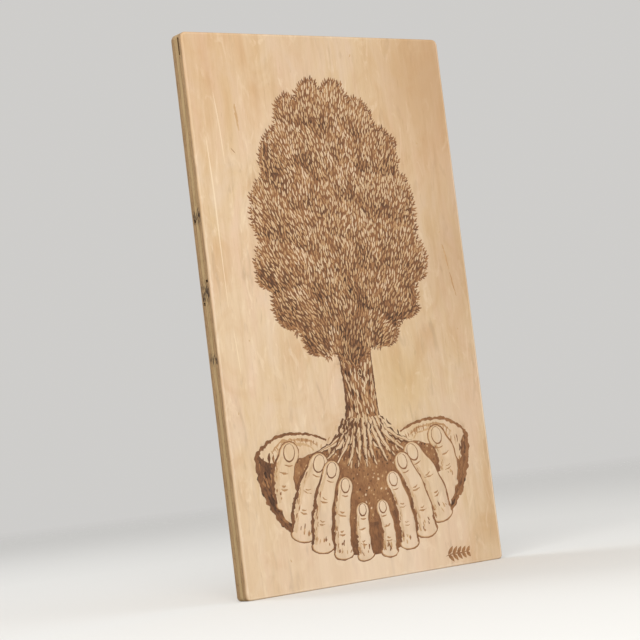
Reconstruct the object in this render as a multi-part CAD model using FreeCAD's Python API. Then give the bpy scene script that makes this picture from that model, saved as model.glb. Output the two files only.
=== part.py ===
"""Plywood wall plaque with a wood-burned face, and the hanging hardware on its back.

Millimetres. The origin is the middle of the board's bottom edge, halfway through its thickness.
+X is the viewer's right, +Z is up, and the burned face looks along -Y.

The board is five plies glued crosswise. The face, core and back plies have upright grain. The two
cross plies have level grain, and are laid up from strips whose edges don't quite meet, which leaves
the narrow voids that open at the board's sides. The core is laid from two strips in the same way.
On the back sit two hanging rings, each held by a folded steel strap and one screw, and two bumpers
that keep the lower edge off the wall. A ring hangs down on its strap and swings out and up to take
a hook.
"""
import FreeCAD
import Part

import math
import os

Vector = FreeCAD.Vector
X_AXIS = Vector(1, 0, 0)
Y_AXIS = Vector(0, 1, 0)

# Board
BOARD_WIDTH = 305.0
BOARD_HEIGHT = 527.0
FACE_PLY = 2.8
CROSS_PLY = 3.8
CORE_PLY = 4.8
TOP_CORNER_RADIUS = 6.0
BOTTOM_CORNER_RADIUS = 4.0
ARRIS_RADIUS = 1.6

# Open joints between the strips of an inner ply: height of the gap's middle, or its X, and its width
FRONT_CROSS_JOINTS = [(294.0, 2.6)]
REAR_CROSS_JOINTS = [(273.5, 3.0), (350.5, 2.6)]
CORE_JOINTS = [(38.0, 1.6)]

# Hole left by a lost knot in the front cross ply, open at the board's left side near the top
KNOT_HEIGHT = 17.0
KNOT_THICKNESS = 2.4
KNOT_DEPTH = 7.0
KNOT_BELOW_TOP = 13.0

# Hanging rings: round steel wire bent to a D, its straight side being the hinge bar
RING_SPACING = 190.0
RING_BAR_BELOW_TOP = 75.0
WIRE_RADIUS = 1.0
BOW_RADIUS = 9.4
BOW_CENTRE_DROP = 4.2
RING_CORNER_RADIUS = 1.6
RING_REST_GAP = 0.1

# Hanger straps: sheet steel folded round the bar and doubled back on itself
SHEET = 0.8
BAR_CLEARANCE = 0.05
STRAP_WIDTH = 10.0
STRAP_LENGTH = 15.0
FOLD_CLOSES_AT = 3.9
SCREW_DROP = 8.3
STRAP_HOLE_RADIUS = 1.9

# Pan-head wood screws with a cross recess
SCREW_LENGTH = 12.0
SCREW_CORE_RADIUS = 1.2
THREAD_RADIUS = 1.75
THREAD_PITCH = 1.4
THREAD_RIM = 0.2
PLAIN_SHANK = 2.0
TIP_LENGTH = 3.0
HEAD_RADIUS = 3.5
HEAD_SIDE = 0.8
HEAD_HEIGHT = 2.3
HEAD_TOP_RADIUS = 2.2
HEAD_BULGE_OUT = 0.25
HEAD_BULGE_UP = 0.3
RECESS_LENGTH = 3.8
RECESS_WIDTH = 0.9
RECESS_DEPTH = 1.3

# Bumpers
BUMPER_RADIUS = 6.0
BUMPER_HEIGHT = 4.5
BUMPER_SIDE = 1.5
BUMPER_TOP_RADIUS = 3.2
BUMPER_BULGE_OUT = 0.55
BUMPER_BULGE_UP = 0.5
BUMPER_INSET = 20.0

# Worked out from the sizes above
THICKNESS = 2 * FACE_PLY + 2 * CROSS_PLY + CORE_PLY
FRONT = -THICKNESS / 2
BACK = THICKNESS / 2
PLY_Y = {
    "face": FRONT,
    "front_cross": FRONT + FACE_PLY,
    "core": FRONT + FACE_PLY + CROSS_PLY,
    "rear_cross": BACK - FACE_PLY - CROSS_PLY,
    "back": BACK - FACE_PLY,
}
FOLD_OUTER = WIRE_RADIUS + BAR_CLEARANCE + SHEET
FOLD_INNER = WIRE_RADIUS + BAR_CLEARANCE
BAR_Y = BACK + FOLD_OUTER
BAR_Z = BOARD_HEIGHT - RING_BAR_BELOW_TOP
STRAP_TOP_Y = BACK + 2 * SHEET
BOW_DROP = BOW_CENTRE_DROP + BOW_RADIUS
RING_TILT = math.degrees(math.asin((STRAP_TOP_Y + WIRE_RADIUS + RING_REST_GAP - BAR_Y) / BOW_DROP))
SIDES = {"left": -1, "right": 1}


def line(a, b):
    return Part.LineSegment(a, b).toShape()


def arc(a, middle, b):
    return Part.Arc(a, middle, b).toShape()


def board_outline(y):
    """The board's outline at one depth: a rectangle with a larger radius at its top corners."""
    half = BOARD_WIDTH / 2
    corners = [
        (half, 0.0, BOTTOM_CORNER_RADIUS, -90),
        (half, BOARD_HEIGHT, TOP_CORNER_RADIUS, 0),
        (-half, BOARD_HEIGHT, TOP_CORNER_RADIUS, 90),
        (-half, 0.0, BOTTOM_CORNER_RADIUS, 180),
    ]
    arcs = []
    for x, z, radius, start in corners:
        centre_x = x - math.copysign(radius, x)
        centre_z = z - radius if z > 0 else radius
        at = [math.radians(start + turn) for turn in (0, 45, 90)]
        arcs.append([Vector(centre_x + radius * math.cos(a), y, centre_z + radius * math.sin(a)) for a in at])
    edges = []
    for here, there in zip(arcs, arcs[1:] + arcs[:1]):
        edges += [arc(*here), line(here[2], there[0])]
    return Part.Face(Part.Wire(edges))


def ply(start, thickness):
    return board_outline(start).extrude(Vector(0, thickness, 0))


def ease(solid, y):
    """Rounds over the outer edge of a ply at depth y."""
    edges = [e for e in solid.Edges if all(abs(v.Y - y) < 1e-6 for v in e.Vertexes)]
    return solid.makeFillet(ARRIS_RADIUS, edges)


def strips(solid, joints, along_z):
    """Cuts a ply into strips with an open joint between each two, lowest or leftmost first."""
    reach = 2 * BOARD_HEIGHT
    edges = [-reach]
    for middle, gap in joints:
        edges += [middle - gap / 2, middle + gap / 2]
    edges.append(reach)
    made = []
    for low, high in zip(edges[::2], edges[1::2]):
        if along_z:
            box = Part.makeBox(2 * reach, 2 * reach, high - low, Vector(-reach, -reach, low))
        else:
            box = Part.makeBox(high - low, 2 * reach, 2 * reach, Vector(low, -reach, -reach))
        made.append(solid.common(box).Solids[0])
    return made


def knot_hole():
    """The lost knot's space: a spindle lying along the board's side, wider in the middle."""
    centre = Vector(-BOARD_WIDTH / 2, PLY_Y["core"] - KNOT_THICKNESS / 2, BOARD_HEIGHT - KNOT_BELOW_TOP)
    back = centre.y + KNOT_THICKNESS / 2
    top = Vector(centre.x, back, centre.z + KNOT_HEIGHT / 2)
    bottom = Vector(centre.x, back, centre.z - KNOT_HEIGHT / 2)
    deepest = Vector(centre.x + KNOT_DEPTH, back, centre.z)
    plan = Part.Face(Part.Wire([arc(bottom, deepest, top), line(top, bottom)]))
    return plan.extrude(Vector(0, -KNOT_THICKNESS, 0))


def turned(outline):
    """A solid turned about Y from a closed outline of edges in the half plane with X above 0."""
    return Part.Face(Part.Wire(outline)).revolve(Vector(), Y_AXIS, 360)


def shoulder(side, top, out, up):
    """A rounded shoulder from side to top that bulges out and up from the straight line between them."""
    middle = Vector((side.x + top.x) / 2 + out, (side.y + top.y) / 2 + up, 0)
    return arc(side, middle, top)


def ring():
    """A D-shaped ring with its bar on the X axis and its bow below, tilted out to rest on the strap."""
    corner_x = math.sqrt((BOW_RADIUS - RING_CORNER_RADIUS) ** 2 - (BOW_CENTRE_DROP - RING_CORNER_RADIUS) ** 2)
    corner = Vector(corner_x, 0, -RING_CORNER_RADIUS)
    outward = corner - Vector(0, 0, -BOW_CENTRE_DROP)
    outward.normalize()
    leaves = math.atan2(outward.z, outward.x)
    middle = (leaves + math.pi / 2) / 2
    meets = corner + outward * RING_CORNER_RADIUS
    half_way = corner + Vector(math.cos(middle), 0, math.sin(middle)) * RING_CORNER_RADIUS
    bar_end = Vector(corner_x, 0, 0)

    def mirrored(p):
        return Vector(-p.x, p.y, p.z)

    path = Part.Wire([
        line(mirrored(bar_end), bar_end),
        arc(bar_end, half_way, meets),
        arc(meets, Vector(0, 0, -BOW_DROP), mirrored(meets)),
        arc(mirrored(meets), mirrored(half_way), mirrored(bar_end)),
    ])
    section = Part.Wire([Part.Circle(mirrored(bar_end), X_AXIS, WIRE_RADIUS).toShape()])
    made = path.makePipeShell([section], True, True)
    solid = made.Solids[0] if made.Solids else Part.Solid(made)
    expected = math.pi * WIRE_RADIUS ** 2 * path.Length
    print(f"ring volume {solid.Volume:.2f}, section times length {expected:.2f}")
    solid.rotate(Vector(), X_AXIS, RING_TILT)
    return solid


def strap():
    """The folded strap, with the bar's axis on the X axis and the board's back at Y = -FOLD_OUTER.

    The sheet comes up the board, goes over the bar, and leaves it on a tangent that meets its own
    first layer again FOLD_CLOSES_AT below the bar.
    """
    board = -FOLD_OUTER
    layer = board + SHEET
    double = board + 2 * SHEET
    bottom = -STRAP_LENGTH
    leaves = 2 * math.atan2(-FOLD_CLOSES_AT, -FOLD_INNER) + math.pi
    over = (leaves + math.pi) / 2

    def round_bar(radius, angle):
        return Vector(0, radius * math.cos(angle), radius * math.sin(angle))

    outside = round_bar(FOLD_OUTER, leaves)
    lands = Vector(0, double, outside.z + (outside.y - double) / math.tan(leaves))
    outer = Part.Face(Part.Wire([
        line(Vector(0, board, bottom), Vector(0, board, 0)),
        arc(Vector(0, board, 0), round_bar(FOLD_OUTER, over), outside),
        line(outside, lands),
        line(lands, Vector(0, double, bottom)),
        line(Vector(0, double, bottom), Vector(0, board, bottom)),
    ]))
    inside = round_bar(FOLD_INNER, leaves)
    eye = Part.Face(Part.Wire([
        arc(Vector(0, layer, 0), round_bar(FOLD_INNER, over), inside),
        line(inside, Vector(0, layer, -FOLD_CLOSES_AT)),
        line(Vector(0, layer, -FOLD_CLOSES_AT), Vector(0, layer, 0)),
    ]))
    width = Vector(STRAP_WIDTH, 0, 0)
    folded = outer.extrude(width).cut(eye.extrude(width))
    folded.translate(Vector(-STRAP_WIDTH / 2, 0, 0))
    end_z = bottom + STRAP_WIDTH / 2
    depth = 4 * FOLD_OUTER
    plan = Part.makeBox(STRAP_WIDTH, depth, STRAP_LENGTH + FOLD_OUTER, Vector(-STRAP_WIDTH / 2, -depth / 2, end_z))
    plan = plan.fuse(Part.makeCylinder(STRAP_WIDTH / 2, depth, Vector(0, -depth / 2, end_z), Y_AXIS))
    hole = Part.makeCylinder(STRAP_HOLE_RADIUS, depth, Vector(0, -depth / 2, -SCREW_DROP), Y_AXIS)
    return folded.common(plan).cut(hole).Solids[0]


def screw():
    """A screw on the Y axis, its head's underside at Y = 0 and its point towards -Y.

    Each turn of thread is a ring of its own.
    """
    points = [Vector(0, -SCREW_LENGTH, 0)]
    y = -SCREW_LENGTH + TIP_LENGTH
    points.append(Vector(SCREW_CORE_RADIUS, y, 0))
    while y + THREAD_PITCH < -PLAIN_SHANK:
        crest = y + THREAD_PITCH / 2
        points += [
            Vector(THREAD_RADIUS, crest - THREAD_RIM / 2, 0),
            Vector(THREAD_RADIUS, crest + THREAD_RIM / 2, 0),
            Vector(SCREW_CORE_RADIUS, y + THREAD_PITCH, 0),
        ]
        y += THREAD_PITCH
    points += [
        Vector(THREAD_RADIUS, y + (THREAD_RADIUS - SCREW_CORE_RADIUS), 0),
        Vector(THREAD_RADIUS, 0, 0),
        Vector(HEAD_RADIUS, 0, 0),
        Vector(HEAD_RADIUS, HEAD_SIDE, 0),
    ]
    top = Vector(HEAD_TOP_RADIUS, HEAD_HEIGHT, 0)
    edges = [line(a, b) for a, b in zip(points, points[1:])]
    edges += [
        shoulder(points[-1], top, HEAD_BULGE_OUT, HEAD_BULGE_UP),
        line(top, Vector(0, HEAD_HEIGHT, 0)),
        line(Vector(0, HEAD_HEIGHT, 0), points[0]),
    ]
    made = turned(edges)
    floor = HEAD_HEIGHT - RECESS_DEPTH
    for length, width in ((RECESS_LENGTH, RECESS_WIDTH), (RECESS_WIDTH, RECESS_LENGTH)):
        corner = Vector(-length / 2, floor, -width / 2)
        made = made.cut(Part.makeBox(length, 2 * RECESS_DEPTH, width, corner))
    return made.Solids[0]


def bumper():
    """A round bumper on the Y axis with a domed shoulder and a flat top, its foot at Y = 0."""
    side = Vector(BUMPER_RADIUS, BUMPER_SIDE, 0)
    top = Vector(BUMPER_TOP_RADIUS, BUMPER_HEIGHT, 0)
    return turned([
        line(Vector(), Vector(BUMPER_RADIUS, 0, 0)),
        line(Vector(BUMPER_RADIUS, 0, 0), side),
        shoulder(side, top, BUMPER_BULGE_OUT, BUMPER_BULGE_UP),
        line(top, Vector(0, BUMPER_HEIGHT, 0)),
        line(Vector(0, BUMPER_HEIGHT, 0), Vector()),
    ])


def placed(solid, x, y, z):
    moved = solid.copy()
    moved.translate(Vector(x, y, z))
    return moved


def hardware():
    """The hanging hardware and the bumpers, as node name to solid."""
    made = {}
    for side, sign in SIDES.items():
        x = sign * RING_SPACING / 2
        made[f"{side}_hanger_strap"] = placed(strap(), x, BAR_Y, BAR_Z)
        made[f"{side}_hanging_ring"] = placed(ring(), x, BAR_Y, BAR_Z)
        made[f"{side}_hanger_screw"] = placed(screw(), x, STRAP_TOP_Y, BAR_Z - SCREW_DROP)
        bumper_x = sign * (BOARD_WIDTH / 2 - BUMPER_INSET)
        made[f"{side}_bumper"] = placed(bumper(), bumper_x, BACK, BUMPER_INSET)
    return made


def board(screws):
    """The plies and their strips, with the screws' own holes, as node name to solid."""
    front_cross = strips(ply(PLY_Y["front_cross"], CROSS_PLY), FRONT_CROSS_JOINTS, True)
    front_cross[-1] = front_cross[-1].cut(knot_hole())
    core = strips(ply(PLY_Y["core"], CORE_PLY), CORE_JOINTS, False)
    rear_cross = strips(ply(PLY_Y["rear_cross"], CROSS_PLY), REAR_CROSS_JOINTS, True)
    made = {
        "front_face_veneer": ease(ply(PLY_Y["face"], FACE_PLY), FRONT),
        "front_cross_ply_lower": front_cross[0],
        "front_cross_ply_upper": front_cross[1],
        "core_ply_left": core[0],
        "core_ply_right": core[1],
        "rear_cross_ply_lower": rear_cross[0],
        "rear_cross_ply_middle": rear_cross[1],
        "rear_cross_ply_upper": rear_cross[2],
        "back_face_veneer": ease(ply(PLY_Y["back"], FACE_PLY), BACK),
    }
    for name, solid in made.items():
        for fastener in screws:
            if solid.BoundBox.intersect(fastener.BoundBox):
                solid = solid.cut(fastener)
        made[name] = solid.Solids[0]
    return made


def main():
    pieces = hardware()
    screws = [solid for name, solid in pieces.items() if name.endswith("_screw")]
    pieces.update(board(screws))
    os.makedirs("parts", exist_ok=True)
    for name, solid in sorted(pieces.items()):
        solid.exportStep(f"parts/{name}.step")
        box = solid.BoundBox
        print(f"{name}: valid {solid.isValid()}, {box.XLength:.2f} x {box.YLength:.2f} x {box.ZLength:.2f}, "
              f"volume {solid.Volume:.1f}")
    print(f"bar at Y {BAR_Y:.3f}, Z {BAR_Z:.3f}, ring tilt {RING_TILT:.3f} degrees")


main()
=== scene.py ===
"""Wood-burned plywood wall plaque: a leafy tree growing out of two cupped hands, burned into the face.

The board stands on its bottom edge with the burned face towards -Y. The picture is laid out in
millimetres on the face: x from the middle of the board, z up from its bottom edge.
"""
import random
from math import atan2, copysign, cos, degrees, exp, hypot, pi, radians, sin, sqrt

import bpy
import numpy as np
from mathutils import Matrix, Vector, noise
from mathutils.geometry import delaunay_2d_cdt


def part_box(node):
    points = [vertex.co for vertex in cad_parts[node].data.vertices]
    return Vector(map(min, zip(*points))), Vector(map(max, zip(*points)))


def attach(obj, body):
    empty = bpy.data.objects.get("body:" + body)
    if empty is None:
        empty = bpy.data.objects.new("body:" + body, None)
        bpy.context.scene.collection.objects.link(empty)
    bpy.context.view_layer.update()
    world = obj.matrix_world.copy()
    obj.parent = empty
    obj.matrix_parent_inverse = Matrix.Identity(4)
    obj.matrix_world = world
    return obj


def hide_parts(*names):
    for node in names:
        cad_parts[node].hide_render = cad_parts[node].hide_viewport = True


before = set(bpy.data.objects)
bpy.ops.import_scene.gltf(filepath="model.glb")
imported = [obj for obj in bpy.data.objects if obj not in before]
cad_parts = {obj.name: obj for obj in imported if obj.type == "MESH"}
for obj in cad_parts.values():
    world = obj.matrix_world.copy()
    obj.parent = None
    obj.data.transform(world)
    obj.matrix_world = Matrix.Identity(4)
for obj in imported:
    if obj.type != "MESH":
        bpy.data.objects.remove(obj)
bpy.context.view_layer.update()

MM = 0.001

# The board, from the frame, in millimetres
FACE_LOW, FACE_HIGH = [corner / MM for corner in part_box("front_face_veneer")]
BACK_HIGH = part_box("back_face_veneer")[1] / MM
WIDTH = FACE_HIGH.x - FACE_LOW.x
HEIGHT = FACE_HIGH.z - FACE_LOW.z
FRONT = FACE_LOW.y
TOP_CORNER = 6
BOTTOM_CORNER = 4
ARRIS = 1.6

# Burn tones: 0 is bare wood, 1 is charred, and less than 0 is a pale scratch
BARE = 0.0
SCORCH = 0.22
BURN_DEPTH = 0.35


# ---- flat geometry helpers

def smooth(points, step):
    """Points along a Catmull-Rom curve through a few points, about step apart."""
    p = np.array(points, float)
    last = len(p) - 1
    out = []
    for i in range(last):
        a, b, c, d = p[max(i - 1, 0)], p[i], p[i + 1], p[min(i + 2, last)]
        count = max(2, int(np.linalg.norm(c - b) / step + 0.5))
        for t in np.arange(count) / count:
            out.append(0.5 * (2 * b + (c - a) * t + (2 * a - 5 * b + 4 * c - d) * t * t
                              + (3 * b - a - 3 * c + d) * t ** 3))
    out.append(p[-1])
    return np.array(out)


def normals_along(path):
    """Unit left-hand normals of an open path."""
    along = np.gradient(path, axis=0)
    along /= np.linalg.norm(along, axis=1)[:, None] + 1e-9
    return np.stack([-along[:, 1], along[:, 0]], 1)


def ribbon(path, left, right):
    """A closed outline round an open path, with its half widths to the left and right."""
    side = normals_along(path)
    return np.concatenate([path + side * left[:, None], (path - side * right[:, None])[::-1]])


def taper(count, start, end, peak):
    """Width factors that rise from start to 1 at peak and fall to end."""
    t = np.linspace(0, 1, count)
    rise = start + (1 - start) * np.sin(np.pi / 2 * np.clip(t / peak, 0, 1))
    fall = end + (1 - end) * np.sin(np.pi / 2 * np.clip((1 - t) / (1 - peak), 0, 1))
    return np.minimum(rise, fall)


def ellipse(x, z, half_w, half_h, turn, count=22):
    """Points round an ellipse that is turned by some degrees."""
    a = np.linspace(0, 2 * pi, count, endpoint=False)
    u, v = half_w * np.cos(a), half_h * np.sin(a)
    c, s = cos(radians(turn)), sin(radians(turn))
    return np.stack([x + u * c - v * s, z + u * s + v * c], 1)


def direction(heading):
    """The unit step of a heading, which is an angle from straight up."""
    return np.array([sin(heading), cos(heading)])


def left_of(along):
    return np.array([-along[1], along[0]])


def dash(x, z, heading, length, bow):
    """Three points of a short bowed line through x, z."""
    along = direction(heading)
    start = np.array([x, z]) - along * length / 2
    return [start, start + along * length / 2 + left_of(along) * bow, start + along * length]


def patches(x, z, size, layer):
    """Smooth noise of about -1 to 1, in patches of about a given size."""
    return noise.noise(Vector((x / size, layer * 7.3, z / size))) * 1.4


def inside(shape, points):
    """Which of the points lie inside a closed shape."""
    result = np.zeros(len(points), bool)
    for a, b in zip(shape, np.roll(shape, -1, 0)):
        crosses = (a[1] > points[:, 1]) != (b[1] > points[:, 1])
        at = a[0] + (points[:, 1] - a[1]) / (b[1] - a[1] + 1e-12) * (b[0] - a[0])
        result ^= crosses & (at > points[:, 0])
    return result


# ---- the burned picture

FINEST_HALF = 0.1


class Picture:
    """Shapes painted one over another. Each face of the mesh takes its top shape's tone."""

    def __init__(self, seed):
        self.random = random.Random(seed)
        self.outlines = []
        self.tones = []
        self.inner = []

    def fill(self, outline, tone, wobble=0, inner=()):
        """A closed shape. Its tone is a number or a function of x and z.

        inner holds points within it that have tones of their own.
        """
        pts = np.array(outline, float)
        if wobble:
            pts = pts + np.array([[self.random.gauss(0, wobble) for _ in range(2)] for _ in pts])
        nxt = np.roll(pts, -1, 0)
        clockwise = np.sum(pts[:, 0] * nxt[:, 1] - pts[:, 1] * nxt[:, 0]) < 0
        self.outlines.append(pts[::-1] if clockwise else pts)
        self.tones.append(tone)
        self.inner += [(point, len(self.tones) - 1, inner_tone) for point, inner_tone in inner]

    def stroke(self, points, width, tone, peak=0.5, step=2):
        """A clean line, widest at peak, which is a part of its length, and tapered to both ends."""
        path = smooth(points, step)
        half = width / 2 * taper(len(path), 0.2, 0.2, peak)
        self.fill(ribbon(path, half, half), tone)

    def rough(self, points, width, tone, start=0.35, end=0.25, peak=0.45, uneven=0.6):
        """A line of uneven width, as a hand-held burner leaves it."""
        path = smooth(points, 1.7)
        half = width / 2 * taper(len(path), start, end, peak)
        left = half * (1 + uneven * np.array([patches(x, z, 3.2, 1) for x, z in path]))
        right = half * (1 + uneven * np.array([patches(x, z, 2.6, 2) for x, z in path]))
        self.fill(ribbon(path, np.maximum(left, FINEST_HALF), np.maximum(right, FINEST_HALF)), tone)

    def scatter(self, shape, tries, gap_along, gap_across, heading):
        """Random places (x, z, heading) in a shape, with a gap along and one across their heading."""
        low, high = shape.min(0), shape.max(0)
        spots = np.array([[self.random.uniform(low[i], high[i]) for i in (0, 1)] for _ in range(tries)])
        cell = max(gap_along, gap_across)
        grid = {}
        placed = []
        for x, z in spots[inside(shape, spots)]:
            turn = heading(x, z)
            dx, dz = sin(turn), cos(turn)
            column, row = x // cell, z // cell
            near = [p for i in (-1, 0, 1) for j in (-1, 0, 1) for p in grid.get((column + i, row + j), ())]
            if any((((px - x) * dx + (pz - z) * dz) / gap_along) ** 2
                   + (((px - x) * dz - (pz - z) * dx) / gap_across) ** 2 < 1 for px, pz in near):
                continue
            grid.setdefault((column, row), []).append((x, z))
            placed.append((x, z, turn))
        return placed

    def leaf(self, stalk, heading, length, width, bend, *tones):
        """A pointed oval from its stalk, with tones for its edge and two points of its midrib."""
        along = direction(heading)
        across = left_of(along)
        spine = [stalk + along * length * t + across * bend * sin(pi * t) for t in (0, 0.22, 0.5, 0.78, 1)]
        halves = [across * width * part for part in (0.42, 0.5, 0.3)]
        left = [point + half for point, half in zip(spine[1:], halves)]
        right = [point - half for point, half in zip(spine[1:], halves)][::-1]
        ribs = spine[1], (spine[2] + spine[3]) / 2
        self.fill([spine[0], *left, spine[4], *right], tones[0], inner=zip(ribs, tones[1:]))


# ---- the drawing's layout

# The crown is an egg with billows round its edge and leaf clumps inside it
CROWN_HEART = 346
CROWN_HALF_WIDTH = 94
CROWN_HALF_HEIGHT = 131
CROWN_EGG = 0.17
CROWN_SQUARE = 0.86
CROWN_POINTS = 240
BILLOWS = 15
BILLOW_DEPTH = 0.1
CLUMPS = 30
CLUMP_REACH = 26
GOLDEN_ANGLE = pi * (3 - sqrt(5))

# Its leaves fan out from a point in the trunk
LEAF_FAN_FOOT = 196
LEAF_LENGTHS = (5, 7.8)
LEAF_WIDTHS = (1.3, 2.1)
LEAF_SHADES = (0, 0.03, 0.08, 0.14, 0.22, 0.34)
FRINGE_TONES = (0.46, 0.74)

# The trunk stands on the middle line and flares at both ends
TRUNK_FOOT = 130
TRUNK_TOP = 248
TRUNK_HALF = 17.5
FOOT_FLARE = 18
FOOT_FLARE_HEIGHT = 13
TOP_FLARE = 9
TOP_FLARE_HEIGHT = 20
TRUNK_SWAY = 2.6
SWAY_HEIGHT = 32
BARK_LENGTHS = (4.8, 10)
BARK_WIDTHS = (1.1, 2.3)
BARK_SHADES = (0, 0.04, 0.1, 0.2, 0.34, 0.84)
KNOTS = ((198, 3), (222, -7))  # height, and x from the trunk's middle

# The roots splay from the trunk's foot into the soil
ROOTS = 11
ROOT_SPREAD = 60

# The two hands make one cup, and the right one mirrors the left
CUP_HALF_WIDTH = 126
CUP_DEPTH = 108
CUP_RIM = 124
RIM_STROKES = 26

# The soil is a heap between the palms
SOIL_HALF = 101
SOIL_EDGE = CUP_RIM - 8
SOIL_RISE = 18
SOIL_DROP = 80

# Fingers are counted from the middle line outwards, with angles measured round the cup
FINGERS = 4
FIRST_KNUCKLE = 7
KNUCKLE_STEP = 12.5
KNUCKLE_REACH = 0.93
LONGEST_FINGER = 71
FINGER_HALF = 8.9
FINGER_STEP = 3
THUMB_LENGTH = 44
THUMB_HALF = 12.6

# Each hand: its side, where on the cup its shade starts, and the tones of its palm and finger lines
HANDS = ((1, 0.86, 0.54, 0.56), (-1, 0.56, 0.66, 0.64))

# What is scattered: places tried, and the gaps kept along and across their heading
LEAVES = (60000, 4.7, 1.95)
BARK_STROKES = (9000, 6.4, 2)
ROOT_HAIRS = (1500, 8, 4)
CRUMBS = (2600, 3.4, 3.4)
PALM_STROKES = (9000, 6.4, 1.9)

# The sprig in the lower right corner, and small dark flecks in the bare wood
SPRIG = (97, 12)
FLECKS = ((-117, 236), (-138, 170), (124, 330), (132, 232), (40, 508), (-100, 30), (110, 420))


# ---- the crown

def crown_place(angle, reach):
    """A place in the crown at an angle round its heart. Reach is 1 at its mean edge."""
    up = copysign(abs(sin(angle)) ** CROWN_SQUARE, sin(angle))
    across = cos(angle) * (1 - CROWN_EGG * sin(angle))
    return reach * CROWN_HALF_WIDTH * across, CROWN_HEART + reach * CROWN_HALF_HEIGHT * up


def crown_outline():
    out = []
    for k in range(CROWN_POINTS):
        angle = 2 * pi * k / CROWN_POINTS
        billow = abs(sin(BILLOWS * angle / 2 + 0.7)) - 0.6
        x, z = crown_place(angle, 1)
        out.append(crown_place(angle, 1 + BILLOW_DEPTH * billow + 0.04 * patches(x, z, 60, 9)))
    return np.array(out)


CLUMP_HEARTS = np.array([crown_place(i * GOLDEN_ANGLE, 0.96 * sqrt((i + 0.5) / CLUMPS))
                         for i in range(CLUMPS)])


def clump_tone(x, z):
    """Each clump is lit from its upper right, and the whole crown darkens towards its foot."""
    away = np.array([x, z]) - CLUMP_HEARTS
    dx, dz = away[np.argmin((away ** 2).sum(1))]
    shade = 0.13 * (-0.5 * dx - dz) / CLUMP_REACH
    low = 0.1 * max(0, (CROWN_HEART - z) / CROWN_HALF_HEIGHT)
    return shade + low + 0.09 * patches(x, z, 14, 3) + 0.05 * patches(x, z, 32, 4)


def crown_ground(x, z):
    return min(max(0.65 + clump_tone(x, z) * 0.9 + 0.05 * patches(x, z, 4, 5), 0.4), 0.98)


def leaf_heading(x, z):
    return 0.72 * atan2(x, z - LEAF_FAN_FOOT) + 0.35 * patches(x, z, 26, 6)


def draw_crown(pic):
    rng = pic.random
    edge = crown_outline()
    pic.fill(edge, crown_ground, 0.3)
    draw_fringe(pic, edge)
    for x, z, heading in pic.scatter(edge, *LEAVES, leaf_heading):
        heading += rng.gauss(0, 0.16)
        length = rng.uniform(*LEAF_LENGTHS)
        width = rng.uniform(*LEAF_WIDTHS)
        shade = min(max(rng.choice(LEAF_SHADES) + clump_tone(x, z), 0), 0.8)
        stalk = np.array([x, z]) - direction(heading) * length / 2
        pic.leaf(stalk, heading, length, width, rng.uniform(-0.6, 0.6),
                 shade + 0.1, shade + 0.05, max(shade - 0.06, 0))


def draw_fringe(pic, edge):
    """Small sprigs of burned leaves that stand out all round the crown."""
    rng = pic.random
    along = np.roll(edge, -1, 0) - np.roll(edge, 1, 0)
    outward = np.stack([along[:, 1], -along[:, 0]], 1)
    outward /= np.linalg.norm(outward, axis=1)[:, None]
    for (x, z), out in zip(edge, outward):
        aim = direction(leaf_heading(x, z)) + out * 0.8
        if aim @ out < 0:
            aim = out.copy()
        aim /= np.linalg.norm(aim)
        turn = atan2(aim[0], aim[1]) + rng.gauss(0, 0.12)
        root = np.array([x, z]) - out * rng.uniform(1, 3)
        size = rng.uniform(0.75, 1.25)
        for side, reach in ((-1, 0.5), (1, 1.8), (0, 3.6)):
            stalk = root + aim * reach * size
            tone = rng.uniform(*FRINGE_TONES)
            pic.leaf(stalk, turn + side * 0.5, 4.9 * size, 1.6 * size, side * 0.3,
                     tone, tone + 0.06, tone - 0.12)


# ---- the trunk and roots

def trunk_half(z):
    """Half the trunk's width at a height."""
    return (TRUNK_HALF + FOOT_FLARE * exp((TRUNK_FOOT - z) / FOOT_FLARE_HEIGHT)
            + TOP_FLARE * exp((z - TRUNK_TOP) / TOP_FLARE_HEIGHT))


def trunk_middle(z):
    return TRUNK_SWAY * sin((z - TRUNK_FOOT) / SWAY_HEIGHT)


def trunk_across(x, z):
    """Where a point lies across the trunk: -1 at its left edge and 1 at its right."""
    return (x - trunk_middle(z)) / trunk_half(z)


def trunk_side(side, inset=0):
    """One edge of the trunk from its foot to its top."""
    return np.array([(trunk_middle(z) + side * (trunk_half(z) - inset), z)
                     for z in np.arange(TRUNK_FOOT, TRUNK_TOP, 3)])


def bark_heading(x, z):
    """Bark follows the trunk's edges, with a slow twist."""
    u = trunk_across(x, z)
    rise = 2
    here = trunk_middle(z) + u * trunk_half(z)
    above = trunk_middle(z + rise) + u * trunk_half(z + rise)
    return atan2(above - here, rise) + 0.2 * sin(z / 15 + 1.6 * u)


def bark_ground(x, z):
    return 0.58 - 0.08 * trunk_across(x, z) + 0.12 * patches(x, z, 9, 8)


def draw_trunk(pic):
    """Bark strokes on a dark ground, a line down each edge, and the knots."""
    rng = pic.random
    outline = np.concatenate([trunk_side(-1), trunk_side(1)[::-1]])
    pic.fill(outline, bark_ground, 0.25)
    for x, z, lean in pic.scatter(outline, *BARK_STROKES, bark_heading):
        length = rng.uniform(*BARK_LENGTHS)
        shade = rng.choice(BARK_SHADES) + 0.14 * max(-trunk_across(x, z), 0)
        bark = dash(x, z, lean, length, rng.uniform(-1.1, 1.1))
        pic.stroke(bark, rng.uniform(*BARK_WIDTHS), shade, step=1.9)
    for side, width in ((-1, 2.6), (1, 1.5)):
        pic.rough(trunk_side(side, 0.4)[::4], width, 0.76, uneven=0.9)
    for height, aside in KNOTS:
        draw_knot(pic, trunk_middle(height) + aside, height)


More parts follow.
